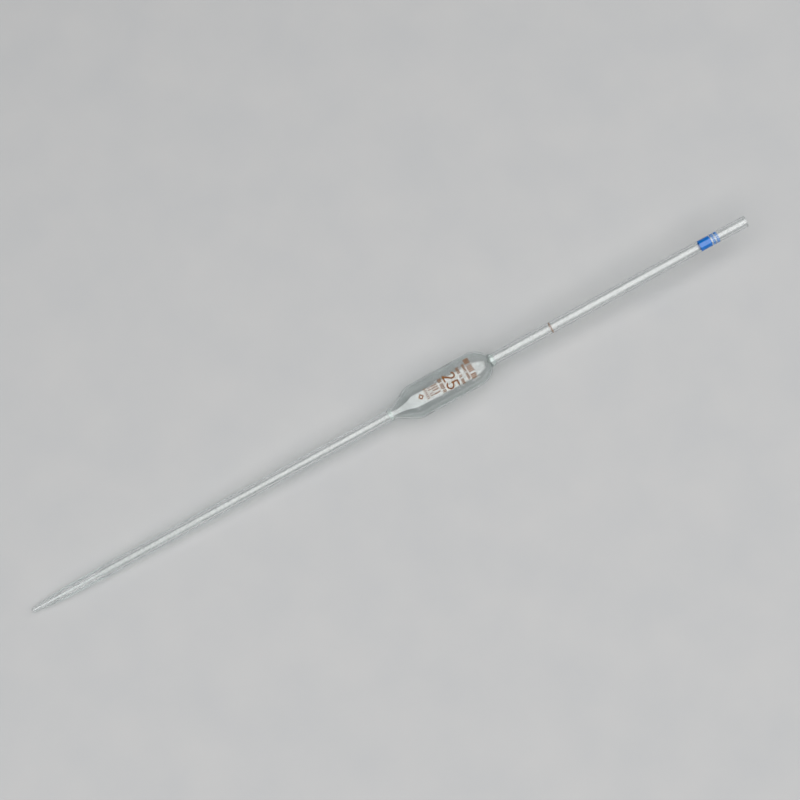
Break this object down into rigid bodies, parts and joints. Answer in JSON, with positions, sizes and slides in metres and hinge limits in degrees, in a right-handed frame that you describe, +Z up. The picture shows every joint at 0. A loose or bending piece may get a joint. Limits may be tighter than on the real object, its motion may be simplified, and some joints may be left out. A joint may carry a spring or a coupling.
{
  "type": "one-mark volumetric pipette",
  "caption": "Slim clear glass tube with a bulb between cone and dome shoulders, a tapered jet, an amber ring mark, amber numerals and a blue code band near its open end.",
  "frame": {"origin": "centre of the bounding box on the table plane, under the pipette as it lies at rest", "axes": "+Z up from the table; +X from the jet towards the suction end. The pipette rests on its bulb and on the thick end of its jet, so its own axis rises 1.8 degrees from the jet to the suction end and lies in the XZ plane. The printed marks face +Z"},
  "size_m": [0.5198, 0.023, 0.0244],
  "materials": {
    "clear_glass": "clear drawn soda-lime laboratory glass, fire polished",
    "weld_glass": "clear glass, thicker and greener where the tubes were fused",
    "amber_enamel": "amber brown fired print, satin",
    "blue_enamel": "glossy blue fired enamel"
  },
  "bodies": {
    "root": {"jet_tip": "clear_glass", "delivery_tube": "clear_glass", "lower_weld": "weld_glass", "bulb": "clear_glass", "upper_weld": "weld_glass", "suction_tube": "clear_glass", "ring_mark": "amber_enamel", "colour_band": "blue_enamel", "band_print": "blue_enamel", "capacity_numerals": "amber_enamel", "unit_print": "amber_enamel", "upper_small_print": "amber_enamel", "lower_small_print": "amber_enamel", "approval_print": "amber_enamel", "class_print": "amber_enamel", "maker_print": "amber_enamel"}
  },
  "joints": []
}
